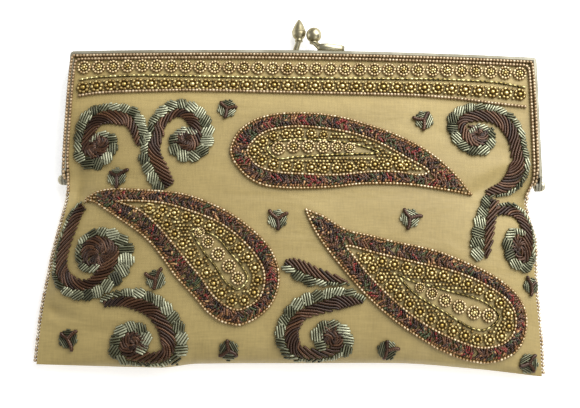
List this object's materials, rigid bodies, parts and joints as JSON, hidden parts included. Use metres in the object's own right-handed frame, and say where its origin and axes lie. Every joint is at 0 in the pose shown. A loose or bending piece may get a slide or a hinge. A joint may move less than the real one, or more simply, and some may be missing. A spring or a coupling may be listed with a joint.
{
  "type": "beaded evening clutch bag",
  "caption": "Flat satin clutch with a hinged metal kiss-lock frame and a front panel sewn with bead paisleys, scrolls, florets and a rosette band.",
  "frame": {"origin": "under the middle of the bag's box, on the plane that its back rests on", "axes": "+X along the frame to the right of the front panel, +Y from the bottom fold to the clasp, +Z out of the front panel"},
  "size_m": [0.2234, 0.16, 0.0186],
  "materials": {
    "satin": "fine ribbed beige-gold satin",
    "frame_metal": "worn pale champagne plating",
    "clasp_metal": "polished pale gold",
    "gold_beads": "metallic gold and copper seed beads",
    "cut_beads": "dark iris cut beads with gold outlines",
    "bugle_beads": "silver-lined grey-green bugles and red-brown strands",
    "pearl_beads": "pearly beige seed beads"
  },
  "bodies": {
    "root": {"satin_pouch": "satin", "front_frame": "frame_metal", "back_frame": "frame_metal", "hinge_rivet_left": "frame_metal", "hinge_rivet_right": "frame_metal", "clasp_knob_pointed": "clasp_metal", "clasp_knob_round": "clasp_metal", "frame_bead_rows": "gold_beads", "rosette_band": "gold_beads", "paisley_upper": "cut_beads", "paisley_left": "cut_beads", "paisley_right": "cut_beads", "scroll_horn_left": "bugle_beads", "scroll_horn_right": "bugle_beads", "scroll_right_upper": "bugle_beads", "scroll_right_branch": "bugle_beads", "scroll_left": "bugle_beads", "scroll_bottom_left": "bugle_beads", "scroll_centre_leaf": "bugle_beads", "scroll_bottom_centre": "bugle_beads", "scroll_right_lower": "bugle_beads", "floret_1": "bugle_beads", "floret_2": "bugle_beads", "floret_3": "bugle_beads", "floret_4": "bugle_beads", "floret_5": "bugle_beads", "floret_6": "bugle_beads", "floret_7": "bugle_beads", "floret_8": "bugle_beads", "floret_9": "bugle_beads", "floret_10": "bugle_beads", "floret_11": "bugle_beads", "edge_beads_left": "pearl_beads", "edge_beads_right": "pearl_beads"}
  },
  "joints": []
}
